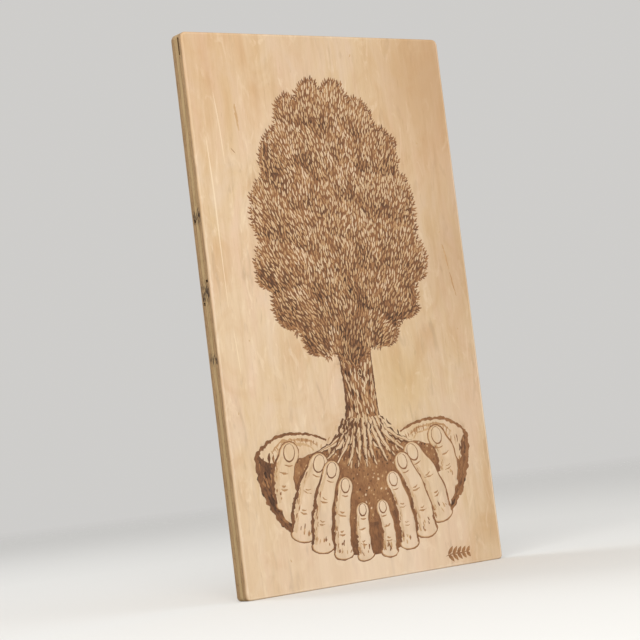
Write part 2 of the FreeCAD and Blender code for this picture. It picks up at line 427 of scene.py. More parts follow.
def draw_knot(pic, x, z):
    """An oval knot in the bark, ring inside ring."""
    for half, tone in ((5, 0.74), (3.7, 0.16), (2.3, 0.8)):
        pic.fill(ellipse(x, z, half * 0.62, half, 12, 16), tone, 0.15)


def draw_roots(pic):
    """Tapered roots, the outermost first, each lit along its right side, and fine hairs."""
    rng = pic.random
    order = sorted(range(ROOTS), key=lambda i: -abs(i - (ROOTS - 1) / 2))
    for i in order:
        t = 2 * i / (ROOTS - 1) - 1
        sag = 1 - t * t
        wave = rng.uniform(-3, 3)
        line = np.array([
            (t * trunk_half(TRUNK_FOOT + 22) * 0.92, TRUNK_FOOT + 24),
            (t * ROOT_SPREAD * 0.5, TRUNK_FOOT + 7 + wave * 0.4),
            (t * ROOT_SPREAD * 0.78 + wave, TRUNK_FOOT - 2 - 8 * sag),
            (t * ROOT_SPREAD + wave * 0.5, TRUNK_FOOT - 6 - 17 * sag),
        ])
        for shift, width, tone, uneven in (((0, 0), 8.6, 0.76, 0.5), ((0.9, 0.3), 4.6, 0.1, 0.7),
                                           ((-0.6, 0), 1, 0.5, 0.7)):
            pic.rough(line + shift, width, tone, start=0.7, end=0.15, peak=0.2, uneven=uneven)
    shape = ellipse(0, TRUNK_FOOT + 2, ROOT_SPREAD * 0.72, 24, 0, 30)

    def heading(x, z):
        return atan2(x, z - TRUNK_FOOT - 60) + 0.5 * patches(x, z, 7, 18)

    for x, z, turn in pic.scatter(shape, *ROOT_HAIRS, heading):
        bow = rng.uniform(-1.4, 1.4)
        hair = dash(x, z, turn, rng.uniform(4, 8), bow)
        pic.rough(hair, rng.uniform(1.2, 2.2), rng.choice((0.04, 0.14, 0.3, 0.8)))


# ---- the cupped hands

def cup_place(angle, reach):
    """A place on the cup, by its angle in degrees from straight down. Reach is 1 on the outside."""
    a = radians(angle)
    return CUP_HALF_WIDTH * sin(a) * reach, CUP_RIM - CUP_DEPTH * cos(a) * reach


def cup_reach(x, z):
    return hypot(x / CUP_HALF_WIDTH, (CUP_RIM - z) / CUP_DEPTH)


def cup_heading(x, z):
    """The way that the cup's outside runs at a place."""
    return atan2(-(z - CUP_RIM) / CUP_DEPTH * CUP_HALF_WIDTH, x / CUP_HALF_WIDTH * CUP_DEPTH)


def mirrored(points, side):
    """Points of the right hand, moved to the left one when side is -1."""
    return np.array(points, float) * (side, 1)


def skin(x, z):
    return 0.02 + max(0, 0.07 * patches(x, z, 12, 11))


def soil(x, z):
    return 0.53 + 0.09 * patches(x, z, 7, 14) + 0.06 * patches(x, z, 3, 15)


def soil_outline():
    t = np.linspace(-1, 1, 60)
    bulge = np.cos(np.pi / 2 * t)
    low, top = [np.stack([SOIL_HALF * t, SOIL_EDGE + rise * bulge], 1)
                for rise in (-SOIL_DROP, SOIL_RISE)]
    return np.concatenate([low, top[-2:0:-1]])


def draw_soil(pic):
    """The heap of soil between the hands, with crumbs and small stones."""
    rng = pic.random
    outline = soil_outline()
    pic.fill(outline, soil, 0.5)
    for x, z, _ in pic.scatter(outline * (0.97, 1), *CRUMBS, lambda x, z: 0):
        half = rng.uniform(0.5, 1.5)
        crumb = ellipse(x, z, half, half * rng.uniform(0.6, 1), rng.uniform(0, 90), 7)
        pic.fill(crumb, rng.choice((0.12, 0.26, 0.36, 0.62, 0.7, 0.78)), half * 0.12)


def palm_outline():
    """The right hand without its fingers: the cup's outside, and the far rim behind the soil."""
    outside = []
    for angle in range(0, 96, 4):
        swell = min(max((angle - 40) / 14, 0), 1)
        outside.append(cup_place(angle, 0.92 + 0.08 * swell))
    rim = smooth([outside[-1], (118, 138), (96, 147), (66, 146), (40, 136), (12, 128)], 5)
    return np.concatenate([outside, rim[1:]])


def draw_palm(pic, side, shade_from, line):
    """One palm with its shade, its contour, two folds and its far rim."""
    outline = mirrored(palm_outline(), side)
    pic.fill(outline, skin, 0.15)
    draw_shade_band(pic, side, shade_from, line)
    draw_palm_strokes(pic, outline, shade_from)
    contour = [cup_place(angle, 0.992) for angle in range(44, 98, 6)]
    contour += [(116, 137), (96, 145.5), (66, 144.5), (44, 137)]
    pic.rough(mirrored(contour, side), 3.4, line, start=0.5, end=0.5, uneven=0.8)
    # the folds where the palm bends
    for place in (0.84, 0.72):
        fold = [cup_place(angle, place) for angle in (92, 80, 68)]
        pic.rough(mirrored(fold, side), 2.4, line * 0.8, uneven=1)
    draw_far_rim(pic, side)


def draw_shade_band(pic, side, shade_from, line):
    """The palm's deepest shade: a band inside the contour with a broken inner edge."""
    angles = np.arange(47, 95, 1.5)
    depths = (1 - shade_from) * 0.62 * np.sin(np.pi * (angles - 45) / 50)
    outer = [cup_place(a, 0.995) for a in angles]
    inner = [cup_place(a, 0.985 - depth * (1 + 0.8 * patches(a, side, 4.5, 20)))
             for a, depth in zip(angles, depths)]

    def shade(x, z):
        return line + 0.1 + 0.16 * patches(x, z, 6, 16)

    pic.fill(mirrored(outer + inner[::-1], side), shade, 0.2)


def draw_palm_strokes(pic, outline, shade_from):
    """Strokes along the cup that thicken towards its outside."""
    rng = pic.random
    for x, z, heading in pic.scatter(outline, *PALM_STROKES, cup_heading):
        deep = (cup_reach(x, z) - shade_from) / (1 - shade_from)
        fingers_hide = abs(x) < CUP_HALF_WIDTH * 0.62 and z < CUP_RIM - CUP_DEPTH * 0.5
        if fingers_hide or z > CUP_RIM + 2 or rng.random() > deep * 1.5:
            continue
        here = np.array([x, z])
        along = direction(heading)
        length = rng.uniform(5, 11)
        start = here - along * length / 2
        bulge = np.array([x, z - CUP_RIM]) * 0.008
        tone = min(0.36 + 0.5 * deep + rng.choice((-0.3, -0.12, 0, 0.12)), 0.92)
        pic.rough([start, here + bulge, start + along * length], 1 + 1.7 * deep, tone, uneven=0.8)


def draw_far_rim(pic, side):
    """The far rim turns inwards: two faint lines below it, and short strokes down from it."""
    rng = pic.random
    for inset, tone in ((5, 0.32), (9.5, 0.2)):
        turn_in = np.array([(112 - inset, 136), (94, 145), (68, 144), (50 + inset, 138)]) - (0, inset)
        pic.rough(mirrored(turn_in, side), 2.6, tone, uneven=1.1)
    for k in range(RIM_STROKES):
        t = (k + rng.random()) / RIM_STROKES
        at = np.array([48 + 60 * t, CUP_RIM + 3 + 15 * sin(pi * (0.12 + 0.76 * t))])
        aim = np.array([1.5 - 4 * t, -rng.uniform(3, 7)])
        width = rng.uniform(0.8, 1.6)
        pic.rough(mirrored([at, at + aim * 0.5, at + aim], side), width, rng.choice((0.2, 0.34, 0.46)))


def draw_finger_shadow(pic):
    """The shade in the gaps between the lower halves of the fingers."""
    angles = np.arange(-47, 48, 2)
    low = [cup_place(a, KNUCKLE_REACH) for a in angles]
    high = [cup_place(a, 0.62 + 0.03 * patches(a, 0, 7, 22)) for a in angles]
    pic.fill(low + high[::-1], lambda x, z: 0.66 + 0.14 * patches(x, z, 6, 16), 0.4)


def finger_spine(start, length, lean, bow):
    """Points up a finger, which leans towards the middle line and bows away from it."""
    a = radians(lean)
    along = np.array([-sin(a), cos(a)])
    outward = -left_of(along)
    return [np.array(start) + along * length * t + outward * bow * sin(pi * t)
            for t in (0, 0.33, 0.67, 1)]


def rounded_end(centre, away, reach, depth):
    """Points round the end of a finger, from the left to the right of the way it points."""
    away = away / np.linalg.norm(away)
    return [centre + left_of(away) * reach * cos(a) + away * depth * sin(a)
            for a in np.linspace(0, pi, 9)[1:-1]]


class Finger:
    """A finger's midline from knuckle to tip, its half widths, and the way it points."""

    def __init__(self, spine, half):
        self.path = smooth(spine, FINGER_STEP)
        self.half = half
        self.t = np.linspace(0, 1, len(self.path))
        # it narrows to its tip and swells a little at its joints
        self.reach = half * (1.08 - 0.26 * self.t + 0.05 * np.cos(6 * np.pi * self.t))
        self.along = np.array(spine[-1]) - np.array(spine[0])
        self.along /= np.linalg.norm(self.along)
        self.right = -left_of(self.along)

    def at(self, t):
        """The point of the midline at a part of the finger's length."""
        return self.path[int(t * (len(self.path) - 1))]

    def outline(self, grow, shift=(0, 0)):
        path = self.path + np.array(shift)
        reach = self.reach + grow
        side = normals_along(path) * reach[:, None]
        tip = rounded_end(path[-1], path[-1] - path[-2], reach[-1], 0.95 * self.half + grow)
        knuckle = rounded_end(path[0], path[0] - path[1], reach[0], 0.6 * self.half + grow)
        return np.concatenate([path + side, tip, (path - side)[::-1], knuckle])

    def side(self, side, low, high, inset):
        """A line along its left side (-1) or right side (1), as seen looking up the finger."""
        line = self.path - normals_along(self.path) * (self.reach - inset)[:, None] * side
        return line[(self.t >= low) & (self.t <= high)][::2]


def draw_finger(pic, spine, half, line):
    """A pale finger, shaded on its left, with creases at its joints and a nail."""
    finger = Finger(spine, half)
    pic.fill(finger.outline(0.7), line, 0.25)
    pic.fill(finger.outline(-0.4), SCORCH, 0.12)
    pic.fill(finger.outline(-1.1, finger.right * 0.3), skin, 0.12)
    pic.rough(finger.side(-1, 0.04, 0.96, 0.36 * half), 0.5 * half, 0.13, start=0.5, uneven=0.35)
    pic.rough(finger.side(-1, 0.02, 0.92, 0.6), 3.6, line + 0.08, start=0.6, uneven=1)
    pic.rough(finger.side(1, 0, 0.45, 0.3), 2.2, line, start=0.9, peak=0.2, uneven=1)
    draw_creases(pic, finger)
    draw_finger_strokes(pic, finger)
    draw_nail(pic, finger.path[-1] + finger.along * half * 0.1, finger.along, half * 0.52, line)


def draw_creases(pic, finger):
    """Two short lines across each of a finger's joints."""
    rng = pic.random
    for place, reach in ((0.3, 0.34), (0.36, 0.22), (0.6, 0.4), (0.65, 0.26)):
        at = finger.at(place)
        across = finger.right * (finger.half * reach * rng.uniform(0.8, 1.2))
        skew = finger.along * rng.uniform(-1, 1)
        pic.rough([at - across + skew, at - finger.along * 0.9, at + across - skew], 1.4, 0.36, uneven=1.1)


def draw_finger_strokes(pic, finger):
    """Short strokes up a finger's shaded side and round its knuckle."""
    rng = pic.random
    along, right, half = finger.along, finger.right, finger.half
    for _ in range(10):
        at = finger.at(rng.uniform(0.06, 0.8)) - right * half * rng.uniform(0.45, 0.8)
        aim = along * rng.uniform(3, 7)
        width = rng.uniform(0.8, 1.7)
        tone = rng.choice((0.24, 0.36, 0.5))
        pic.rough([at, at + aim * 0.5 - right * 0.4, at + aim], width, tone, uneven=0.9)
    for _ in range(8):
        at = finger.at(0) + along * rng.uniform(-1, 8) + right * rng.uniform(-0.7, 0.8) * half
        aim = along * rng.uniform(2, 6) + right * rng.uniform(-1, 1)
        width = rng.uniform(0.9, 2)
        tone = rng.choice((0.24, 0.4, 0.6))
        pic.rough([at, at + aim * 0.5, at + aim], width, tone, uneven=0.9)


def draw_nail(pic, centre, along, half, line):
    """A pale oval in a dark one, and the crease at its root."""
    right = -left_of(along)
    turn = degrees(atan2(-along[0], along[1]))
    half_length = half * 1.35
    pic.fill(ellipse(*centre, half, half_length, turn), line, 0.15)
    inner = centre + along * 0.5 + right * 0.15
    pic.fill(ellipse(*inner, half - 0.9, half_length - 1, turn), BARE, 0.08)
    root = centre - along * half * 1.75
    pic.rough([root - right * half * 0.7, root - along * 0.7, root + right * half * 0.7], 1.3, 0.4)


def draw_fingers(pic, side, line):
    """Four fingers, the outer ones first. The third from the middle is the longest."""
    for i in reversed(range(FINGERS)):
        knuckle = cup_place(FIRST_KNUCKLE + i * KNUCKLE_STEP, KNUCKLE_REACH)
        length = LONGEST_FINGER - 6 * (i - 2.2) ** 2
        spine = finger_spine(knuckle, length, 3 + 6.5 * i, 2 + 1.4 * i)
        draw_finger(pic, mirrored(spine, side), FINGER_HALF + 1.25 * i, line)


def draw_thumb(pic, side, line):
    """The thumb stands at the end of the cup and points up and a bit inwards."""
    spine = finger_spine(cup_place(64, 0.84), THUMB_LENGTH, 9, 6)
    draw_finger(pic, mirrored(spine, side), THUMB_HALF, line)
    # the ball of the thumb runs into the palm, without a line
    heart = cup_place(60, 0.83)
    pic.fill(mirrored(ellipse(*heart, 12.4, 15.5, 12, 26), side), skin, 0.2)
    # but for a shade line, on its upper left for the right hand and under it for the left
    first, last = (12, 20) if side > 0 else (22, 32)
    shaded = ellipse(*heart, 12.6, 16.5, 12, 40)[first:last]
    pic.rough(mirrored(shaded, side)[::2], 2.8, line, start=0.3, end=0.2, uneven=1)


# ---- the small marks and the whole picture

def draw_sprig(pic, x, z):
    """A stalk with pairs of leaves that shorten towards its right end."""
    pic.stroke([(x - 16, z - 1), (x - 5, z + 0.5), (x + 5, z), (x + 15, z + 2)], 1.4, 0.5)
    for i in range(5):
        stalk = np.array([x + (-13 + i * 5.8), z + 0.3])
        for side in (-1, 1):
            heading = radians(90 - side * 48)
            pic.leaf(stalk, heading, 10.4 - i * 0.8, 3.8, side * -0.4, 0.46, 0.56, 0.4)


def draw_face_marks(pic):
    """Pale scratches, darker streaks in the grain, and flecks in the bare wood."""
    rng = pic.random
    pic.stroke([(-138, 428), (-136.4, 380), (-136, 320), (-135.4, 268)], 1.5, -0.55, peak=0.3, step=8)
    pic.stroke([(-132.6, 246), (-131.4, 226), (-130.4, 206)], 1.2, -0.45, step=8)
    pic.stroke([(-124.5, 470), (-122, 440), (-120.5, 402)], 1.4, -0.45, step=8)
    pic.stroke([(-112, 417), (-109.5, 414), (-107.4, 412)], 0.7, 0.55)
    pic.rough([(125.5, 318), (128.5, 304), (130.5, 292)], 1.8, 0.27, uneven=0.9)
    pic.rough([(131, 289), (133, 278), (135.5, 265)], 1.4, 0.33, uneven=0.9)
    pic.rough([(-102.5, 459), (-101.6, 446), (-100.6, 433)], 2.2, 0.2, uneven=0.9)
    for x, z in FLECKS:
        fleck = ellipse(x, z, rng.uniform(0.4, 0.8), rng.uniform(0.8, 2), rng.uniform(-30, 30), 7)
        pic.fill(fleck, SCORCH)


def picture():
    """The whole drawing, from the back to the front."""
    pic = Picture(7)
    draw_face_marks(pic)
    for side, shade_from, line, _ in HANDS:
        draw_palm(pic, side, shade_from, line)
    draw_soil(pic)
    draw_trunk(pic)
    draw_roots(pic)
    draw_crown(pic)
    draw_finger_shadow(pic)
    for side, _, _, line in HANDS:
        draw_thumb(pic, side, line)
        draw_fingers(pic, side, line)
    draw_sprig(pic, *SPRIG)
    return pic


def add_object(name, data):
    obj = bpy.data.objects.new(name, data)
    bpy.context.collection.objects.link(obj)
    return obj


# ---- the burned face veneer

# Steps round each corner, along the sides and over the rounded arris
CORNER_STEPS = 6
EDGE_STEPS = (66, 38)
RING_POINTS = 4 * CORNER_STEPS + 2 * sum(EDGE_STEPS)
ARRIS_STEPS = 5

# The bare wood has a ring of points beside the arris and an uneven grid of them
RING_GAP = 0.8
GRID = 6
GRID_WANDER = 1.5
GRID_MARGIN = 4

# Points of the cut face nearer than this are one
MERGE = 1e-4

# Tint of the bare wood, with painted light and shade: x, z, reach and the amounts of warmth, yellow and light
# the light amounts are partly painted: painted shade down the right side and painted light at the bottom
# middle, besides the wood's own lightness
TINT_AND_PAINTED_LIGHT_ZONES = [
    (-150, 500, 90, 0.45, 0, -0.35),
    (-10, 520, 60, -0.3, 0, -0.3),
    (145, 490, 80, 0.6, 0, -0.95),
    (150, 390, 60, 0.1, 0, -0.35),
    (155, 305, 65, 0, 0, -0.75),
    (155, 85, 50, 0, 0, -0.25),
    (150, 200, 90, 0, 0.1, -0.35),
    (48, 185, 34, 0, 0.6, -0.05),
    (0, 0, 110, -0.35, 0, 0.5),
    (-150, 60, 50, -0.1, 0.1, 0.05),
    (150, 10, 50, 0, 0.2, -0.3),
    (-125, 240, 60, -0.1, 0, 0.1),
]
# The painted highlight along the arris, and the stronger one along the right side
ARRIS_PAINTED_HIGHLIGHT = 0.4
RIGHT_ARRIS_PAINTED_HIGHLIGHT = 1.5


def towards(angle):
    """The unit step at an angle in degrees, counted from +X towards +Z."""
    a = radians(angle)
    return np.array([cos(a), sin(a)])


def board_ring(inset):
    """The board's outline, with an inset from its edge at each of its points."""
    half = WIDTH / 2
    corners = (
        (half - BOTTOM_CORNER, BOTTOM_CORNER, BOTTOM_CORNER, -90),
        (half - TOP_CORNER, HEIGHT - TOP_CORNER, TOP_CORNER, 0),
        (-half + TOP_CORNER, HEIGHT - TOP_CORNER, TOP_CORNER, 90),
        (-half + BOTTOM_CORNER, BOTTOM_CORNER, BOTTOM_CORNER, 180),
    )
    out = []
    for i, (x, z, radius, start) in enumerate(corners):
        centre = np.array([x, z])
        for k in range(CORNER_STEPS + 1):
            out.append(centre + (radius - inset[len(out)]) * towards(start + 90 * k / CORNER_STEPS))
        nx, nz, next_radius, _ = corners[(i + 1) % 4]
        away = towards(start + 90)
        here = centre + radius * away
        there = np.array([nx, nz]) + next_radius * away
        steps = EDGE_STEPS[i % 2]
        for k in range(1, steps):
            out.append(here + (there - here) * (k / steps) - inset[len(out)] * away)
    return np.array(out)


def hand_sanded_arris():
    """The radius of the front edge at each point round the board, a little uneven."""
    wander = np.array([sin(i * 0.11) * 0.5 + sin(i * 0.037 + 2) * 0.5 for i in range(RING_POINTS)])
    return ARRIS * (1 + 0.16 * wander)


def bare_wood_points(arris):
    rng = random.Random(21)
    points = [tuple(p) for p in board_ring(arris + RING_GAP)]
    for i in range(int(WIDTH / GRID)):
        for j in range(int(HEIGHT / GRID)):
            x = -WIDTH / 2 + (i + 0.5) * GRID + rng.uniform(-GRID_WANDER, GRID_WANDER)
            z = (j + 0.5) * GRID + rng.uniform(-GRID_WANDER, GRID_WANDER)
            if abs(x) < WIDTH / 2 - GRID_MARGIN and GRID_MARGIN < z < HEIGHT - GRID_MARGIN:
                points.append((x, z))
    return points


def cut_face(pic, arris):
    """Cuts the flat face into triangles along the edge of every shape.

    Gives the points, the triangles, which of the points put in each point stands for, and which
    shapes hold each triangle. The rim's points go in first, and shape 0 is the whole face.
    """
    points = []
    shapes = []
    for outline in (board_ring(arris), *pic.outlines):
        shapes.append(list(range(len(points), len(points) + len(outline))))
        points += [tuple(p) for p in outline]
    points += [tuple(point) for point, _, _ in pic.inner]
    points += bare_wood_points(arris)
    verts, _, tris, sources, _, holders = delaunay_2d_cdt(
        [Vector(p) for p in points], [], shapes, 1, MERGE, True)
    return verts, tris, sources, holders


def burn_tones(pic, verts, tris, sources, holders):
    """The tone at each corner of each triangle, and the mean tone at each point."""
    inner_from = RING_POINTS + sum(len(outline) for outline in pic.outlines)
    inner_at = {v: pic.inner[number - inner_from][1:] for v, numbers in enumerate(sources)
                for number in numbers if 0 <= number - inner_from < len(pic.inner)}
    tones = []
    total = np.zeros(len(verts))
    count = np.zeros(len(verts))
    for tri, shapes in zip(tris, holders):
        top = max(shapes, default=0) - 1
        base = pic.tones[top] if top >= 0 else BARE
        for v in tri:
            tone = base(verts[v].x, verts[v].y) if callable(base) else base
            if v in inner_at and inner_at[v][0] == top:
                tone = inner_at[v][1]
            tones.append(tone)
            total[v] += max(tone, 0)
            count[v] += 1
    return tones, total / np.maximum(count, 1)


def add_edge(places, faces, tones, rim, arris):
    """Rounds the front edge over, then adds the veneer's sides and its flat back."""
    count = len(rim)
    ring = rim
    for k in range(1, ARRIS_STEPS + 2):
        a = pi / 2 * min(k, ARRIS_STEPS) / ARRIS_STEPS
        outline = board_ring(arris * (1 - sin(a)))
        depths = FRONT + arris * (1 - cos(a))
        if k > ARRIS_STEPS:
            depths = [FACE_HIGH.y] * count
        next_ring = list(range(len(places), len(places) + count))
        places += [(x, y, z) for (x, z), y in zip(outline, depths)]
        for i in range(count):
            j = (i + 1) % count
            faces.append((ring[i], next_ring[i], next_ring[j], ring[j]))
            tones += [BARE] * 4
        ring = next_ring
    faces.append(tuple(reversed(ring)))
    tones += [BARE] * count


def tints_and_painted_light(places, rim):
    """How warm, yellow and light the bare wood is at each point; the light amount holds painted light and
    shade.
    """
    xs, _, zs = np.array(places).T
    tint_and_light_amounts = np.zeros((len(places), 3))
    for x, z, reach, *amounts in TINT_AND_PAINTED_LIGHT_ZONES:
        near = np.exp(-((xs - x) ** 2 + (zs - z) ** 2) / reach ** 2)
        tint_and_light_amounts += near[:, None] * np.array(amounts)
    # a painted highlight: a light line round the face where the arris starts, lightest along its right side
    for v in set(rim):
        tint_and_light_amounts[v, 2] += RIGHT_ARRIS_PAINTED_HIGHLIGHT if xs[v] > WIDTH / 2 - 1.5 * ARRIS else ARRIS_PAINTED_HIGHLIGHT
    return tint_and_light_amounts


def burned_face():
    """The face veneer as one mesh, with the burn as relief and tone, and the bare wood's tint with its
    painted light and shade.
    """
    pic = picture()
    arris = hand_sanded_arris()
    verts, tris, sources, holders = cut_face(pic, arris)
    tones, mean_tones = burn_tones(pic, verts, tris, sources, holders)
    places = [(v.x, y, v.y) for v, y in zip(verts, FRONT + BURN_DEPTH * mean_tones)]
    faces = [tuple(tri) for tri in tris]
    vert_of = {number: v for v, numbers in enumerate(sources) for number in numbers}
    rim = [vert_of[i] for i in range(RING_POINTS)]
    add_edge(places, faces, tones, rim, arris)

    mesh = bpy.data.meshes.new("burned_face")
    mesh.from_pydata([(x * MM, y * MM, z * MM) for x, y, z in places], [], faces)
    mesh.attributes.new("burn", "FLOAT", "CORNER").data.foreach_set("value", tones)
    # the tint attribute holds the wood's own tint, painted light and shade, and the arris's painted highlight
    tint_and_light_amounts = tints_and_painted_light(places, rim)
    mesh.attributes.new("tint_and_painted_light", "FLOAT_VECTOR", "POINT").data.foreach_set("vector", tint_and_light_amounts.ravel())
    mesh.polygons.foreach_set("use_smooth", [True] * len(mesh.polygons))
    mesh.validate()
    return add_object("burned_face", mesh)


# ---- materials

def srgb(r, g, b):
    """A linear colour from sRGB values of 0 to 255."""
    return tuple(c / 12.92 if c <= 0.04045 else ((c + 0.055) / 1.055) ** 2.4
                 for c in (r / 255, g / 255, b / 255)) + (1,)


class Nodes:
    """Short names for building a material's node tree."""

    def __init__(self, name):
        self.material = bpy.data.materials.new(name)
        self.material.use_nodes = True
        self.tree = self.material.node_tree
        self.tree.nodes.clear()
        self.output = self.add("OutputMaterial").inputs[0]
        self.shader = self.add("BsdfPrincipled")
        self.put(self.output, self.shader.outputs[0])
        self.spot = self.add("TexCoord").outputs["Object"]

    def put(self, socket, value):
        if hasattr(value, "is_linked"):
            self.tree.links.new(value, socket)
        elif value is not None:
            socket.default_value = value

    def add(self, kind, inputs=(), **settings):
        """A new node. Its inputs are given in order, or by name or number."""
        node = self.tree.nodes.new("ShaderNode" + kind)
        for key, value in settings.items():
            setattr(node, key, value)
        for key, value in inputs.items() if isinstance(inputs, dict) else enumerate(inputs):
            self.put(node.inputs[key], value)
        return node

    def finish(self, colour, roughness, normal=None, specular=0.5, metallic=0):
        """Sets the shader's own inputs and gives the material."""
        for name, value in (("Base Color", colour), ("Roughness", roughness), ("Normal", normal),
                            ("Specular IOR Level", specular), ("Metallic", metallic)):
            self.put(self.shader.inputs[name], value)
        return self.material

    def place(self):
        """The x, y and z of a point on the object, in metres."""
        return self.add("SeparateXYZ", {"Vector": self.spot}).outputs

    def math(self, operation, a, b=None, c=None, clamp=False):
        return self.add("Math", (a, b, c), operation=operation, use_clamp=clamp).outputs[0]

    def mix(self, factor, a, b):
        return self.add("Mix", {0: factor, 6: a, 7: b}, data_type="RGBA").outputs[2]

    def stack(self, base, *layers):
        """Lays sRGB colours over a base, each by an amount as its figure goes from low to high."""
        for figure, low, high, amount, colour in layers:
            base = self.mix(self.span(figure, low, high, 0, amount), base, srgb(*colour))
        return base

    def noise(self, scale, detail, roughness=0.55, distortion=0):
        """Noise with a scale of its own along x, y and z, per metre."""
        where = self.add("Mapping", {"Vector": self.spot, "Scale": scale})
        return self.add("TexNoise", {
            "Vector": where.outputs[0], "Scale": 1, "Detail": detail, "Roughness": roughness,
            "Distortion": distortion}).outputs["Fac"]

    def ramp(self, factor, *stops):
        node = self.add("ValToRGB", {0: factor})
        elements = node.color_ramp.elements
        while len(elements) < len(stops):
            elements.new(0.5)
        for element, stop in zip(elements, stops):
            element.position, element.color = stop
        return node.outputs[0]

    def span(self, value, low, high, to_low=0, to_high=1):
        return self.add("MapRange", (value, low, high, to_low, to_high)).outputs[0]

    def bump(self, height, strength, distance, normal=None):
        return self.add("Bump", {
            "Height": height, "Strength": strength, "Distance": distance, "Normal": normal}).outputs[0]


def upright_grain(n):
    """The broad figure, streaks and fibres of a veneer with upright grain."""
    broad = n.noise((34, 8, 9), 3, 0.5, 0.8)
    streaks = n.noise((250, 60, 15), 5, 0.62, 0.4)
    fibres = n.noise((1500, 300, 60), 3, 0.6)
    return broad, streaks, fibres


def bare_face(n, broad, streaks, fibres):
    """The bare face: pale, cloudy wood with curl, smudges and flecks."""
    base = n.ramp(broad, (0.32, srgb(217, 188, 148)), (0.5, srgb(222, 195, 160)), (0.68, srgb(224, 194, 164)))
    clouds = n.noise((24, 8, 13), 4, 0.55, 1.3)
    curl = n.noise((62, 14, 20), 4, 0.6, 2.2)
    smudges = n.noise((95, 20, 24), 3, 0.5, 0.8)
    flecks = n.noise((700, 200, 70), 2, 0.5)
    base = n.stack(
        base, (clouds, 0.5, 0.72, 0.62, (205, 164, 119)), (clouds, 0.48, 0.28, 0.5, (224, 202, 180)))
    # the grain shows more in some clouds than in others
    shown = n.math("MULTIPLY", n.span(streaks, 0.42, 0.72, 0, 0.5), n.span(clouds, 0.3, 0.66, 0.3, 1))
    return n.stack(
        n.mix(shown, base, srgb(196, 160, 120)),
        (fibres, 0.52, 0.8, 0.26, (184, 146, 106)),
        (curl, 0.56, 0.72, 0.6, (238, 216, 186)),
        (smudges, 0.6, 0.74, 0.42, (172, 142, 112)),
        (flecks, 0.68, 0.78, 0.35, (158, 118, 80)))


def add_tint_and_painted_light(n, base):
    """The mesh's tint: warm or cool, yellow, and dark or light, where the dark or light is partly painted
    shade and painted light.
    """
    tint_and_painted_light = n.add("Attribute", attribute_name="tint_and_painted_light").outputs["Vector"]
    warm, yellow, light = n.add("SeparateXYZ", {"Vector": tint_and_painted_light}).outputs
    for amount, factor, colour in (
        (warm, 0.55, (214, 166, 118)),
        (warm, -0.8, (226, 198, 174)),
        (yellow, 0.5, (220, 194, 142)),
        # the light amount: painted shade and painted light, mixed with the wood's own lightness
        (light, -0.6, (176, 138, 98)),
        (light, 0.8, (246, 228, 206)),
    ):
        base = n.mix(n.math("MULTIPLY", amount, factor, clamp=True), base, srgb(*colour))
    return base


def scorched(n, burn, streaks):
    """How burnt each spot is, speckled like scorched wood, and its colour from tan to char."""
    speckle = n.noise((1100, 300, 380), 3, 0.6)
    uneven = n.noise((120, 60, 90), 3, 0.5)
    wobble = n.math("ADD", n.span(speckle, 0.3, 0.7, -0.1, 0.1), n.span(uneven, 0.3, 0.7, -0.08, 0.08))
    burnt = n.math("MULTIPLY_ADD", n.math("MULTIPLY", wobble, burn), 1.3, burn, clamp=True)
    char = n.ramp(
        burnt, (0, srgb(222, 195, 160)), (0.22, srgb(203, 164, 119)), (0.42, srgb(169, 123, 80)),
        (0.6, srgb(137, 92, 58)), (0.78, srgb(103, 69, 46)), (1, srgb(54, 36, 26)))
    return burnt, n.stack(char, (streaks, 0.35, 0.7, 0.2, (104, 72, 47)))


def face_wood():
    n = Nodes("burned_birch_veneer")
    broad, streaks, fibres = upright_grain(n)
    base = add_tint_and_painted_light(n, bare_face(n, broad, streaks, fibres))
    y = n.place()[1]
    edge_grain = n.mix(n.span(fibres, 0.35, 0.65), srgb(186, 152, 112), srgb(150, 116, 78))
    base = n.mix(n.span(y, (FRONT + 0.12 * ARRIS) * MM, (FRONT + ARRIS) * MM), base, edge_grain)
    burn = n.add("Attribute", attribute_name="burn").outputs["Fac"]
    burnt, char = scorched(n, burn, streaks)
    colour = n.mix(n.span(burnt, 0, 0.2), base, char)
    # a tone below 0 is a scratch, which bares paler wood
    colour = n.mix(n.math("MULTIPLY", burn, -1, clamp=True), colour, srgb(246, 226, 196))
    roughness = n.math("ADD", n.span(fibres, 0.3, 0.7, 0.42, 0.56), n.math("MULTIPLY", burnt, 0.2))
    relief = n.bump(streaks, 0.2, 0.0006, n.bump(fibres, 0.25, 0.00025))
    return n.finish(colour, roughness, relief, specular=0.35)


def back_wood():
    n = Nodes("back_veneer")
    broad, streaks, fibres = upright_grain(n)
    base = n.ramp(broad, (0.25, srgb(182, 149, 110)), (0.5, srgb(192, 161, 123)), (0.75, srgb(200, 171, 135)))
    base = n.stack(base, (streaks, 0.35, 0.7, 0.6, (178, 134, 92)), (fibres, 0.5, 0.8, 0.4, (160, 118, 80)))
    y = n.place()[1]
    edge_grain = n.mix(n.span(fibres, 0.35, 0.65), srgb(166, 138, 104), srgb(134, 106, 74))
    base = n.mix(n.span(y, (BACK_HIGH.y - ARRIS) * MM, BACK_HIGH.y * MM, 1, 0), base, edge_grain)
    roughness = n.span(fibres, 0.3, 0.7, 0.55, 0.7)
    relief = n.bump(streaks, 0.3, 0.0006, n.bump(fibres, 0.35, 0.0003))
    return n.finish(base, roughness, relief, specular=0.25)


# Where the saw tore the inner plies at the left edge: height and reach
TORN_SPOTS = ((355, 15), (284, 20), (222, 9))
LEFT_PART = -0.1
GLUE = 0.00022
GLUE_WANDER = 0.0003


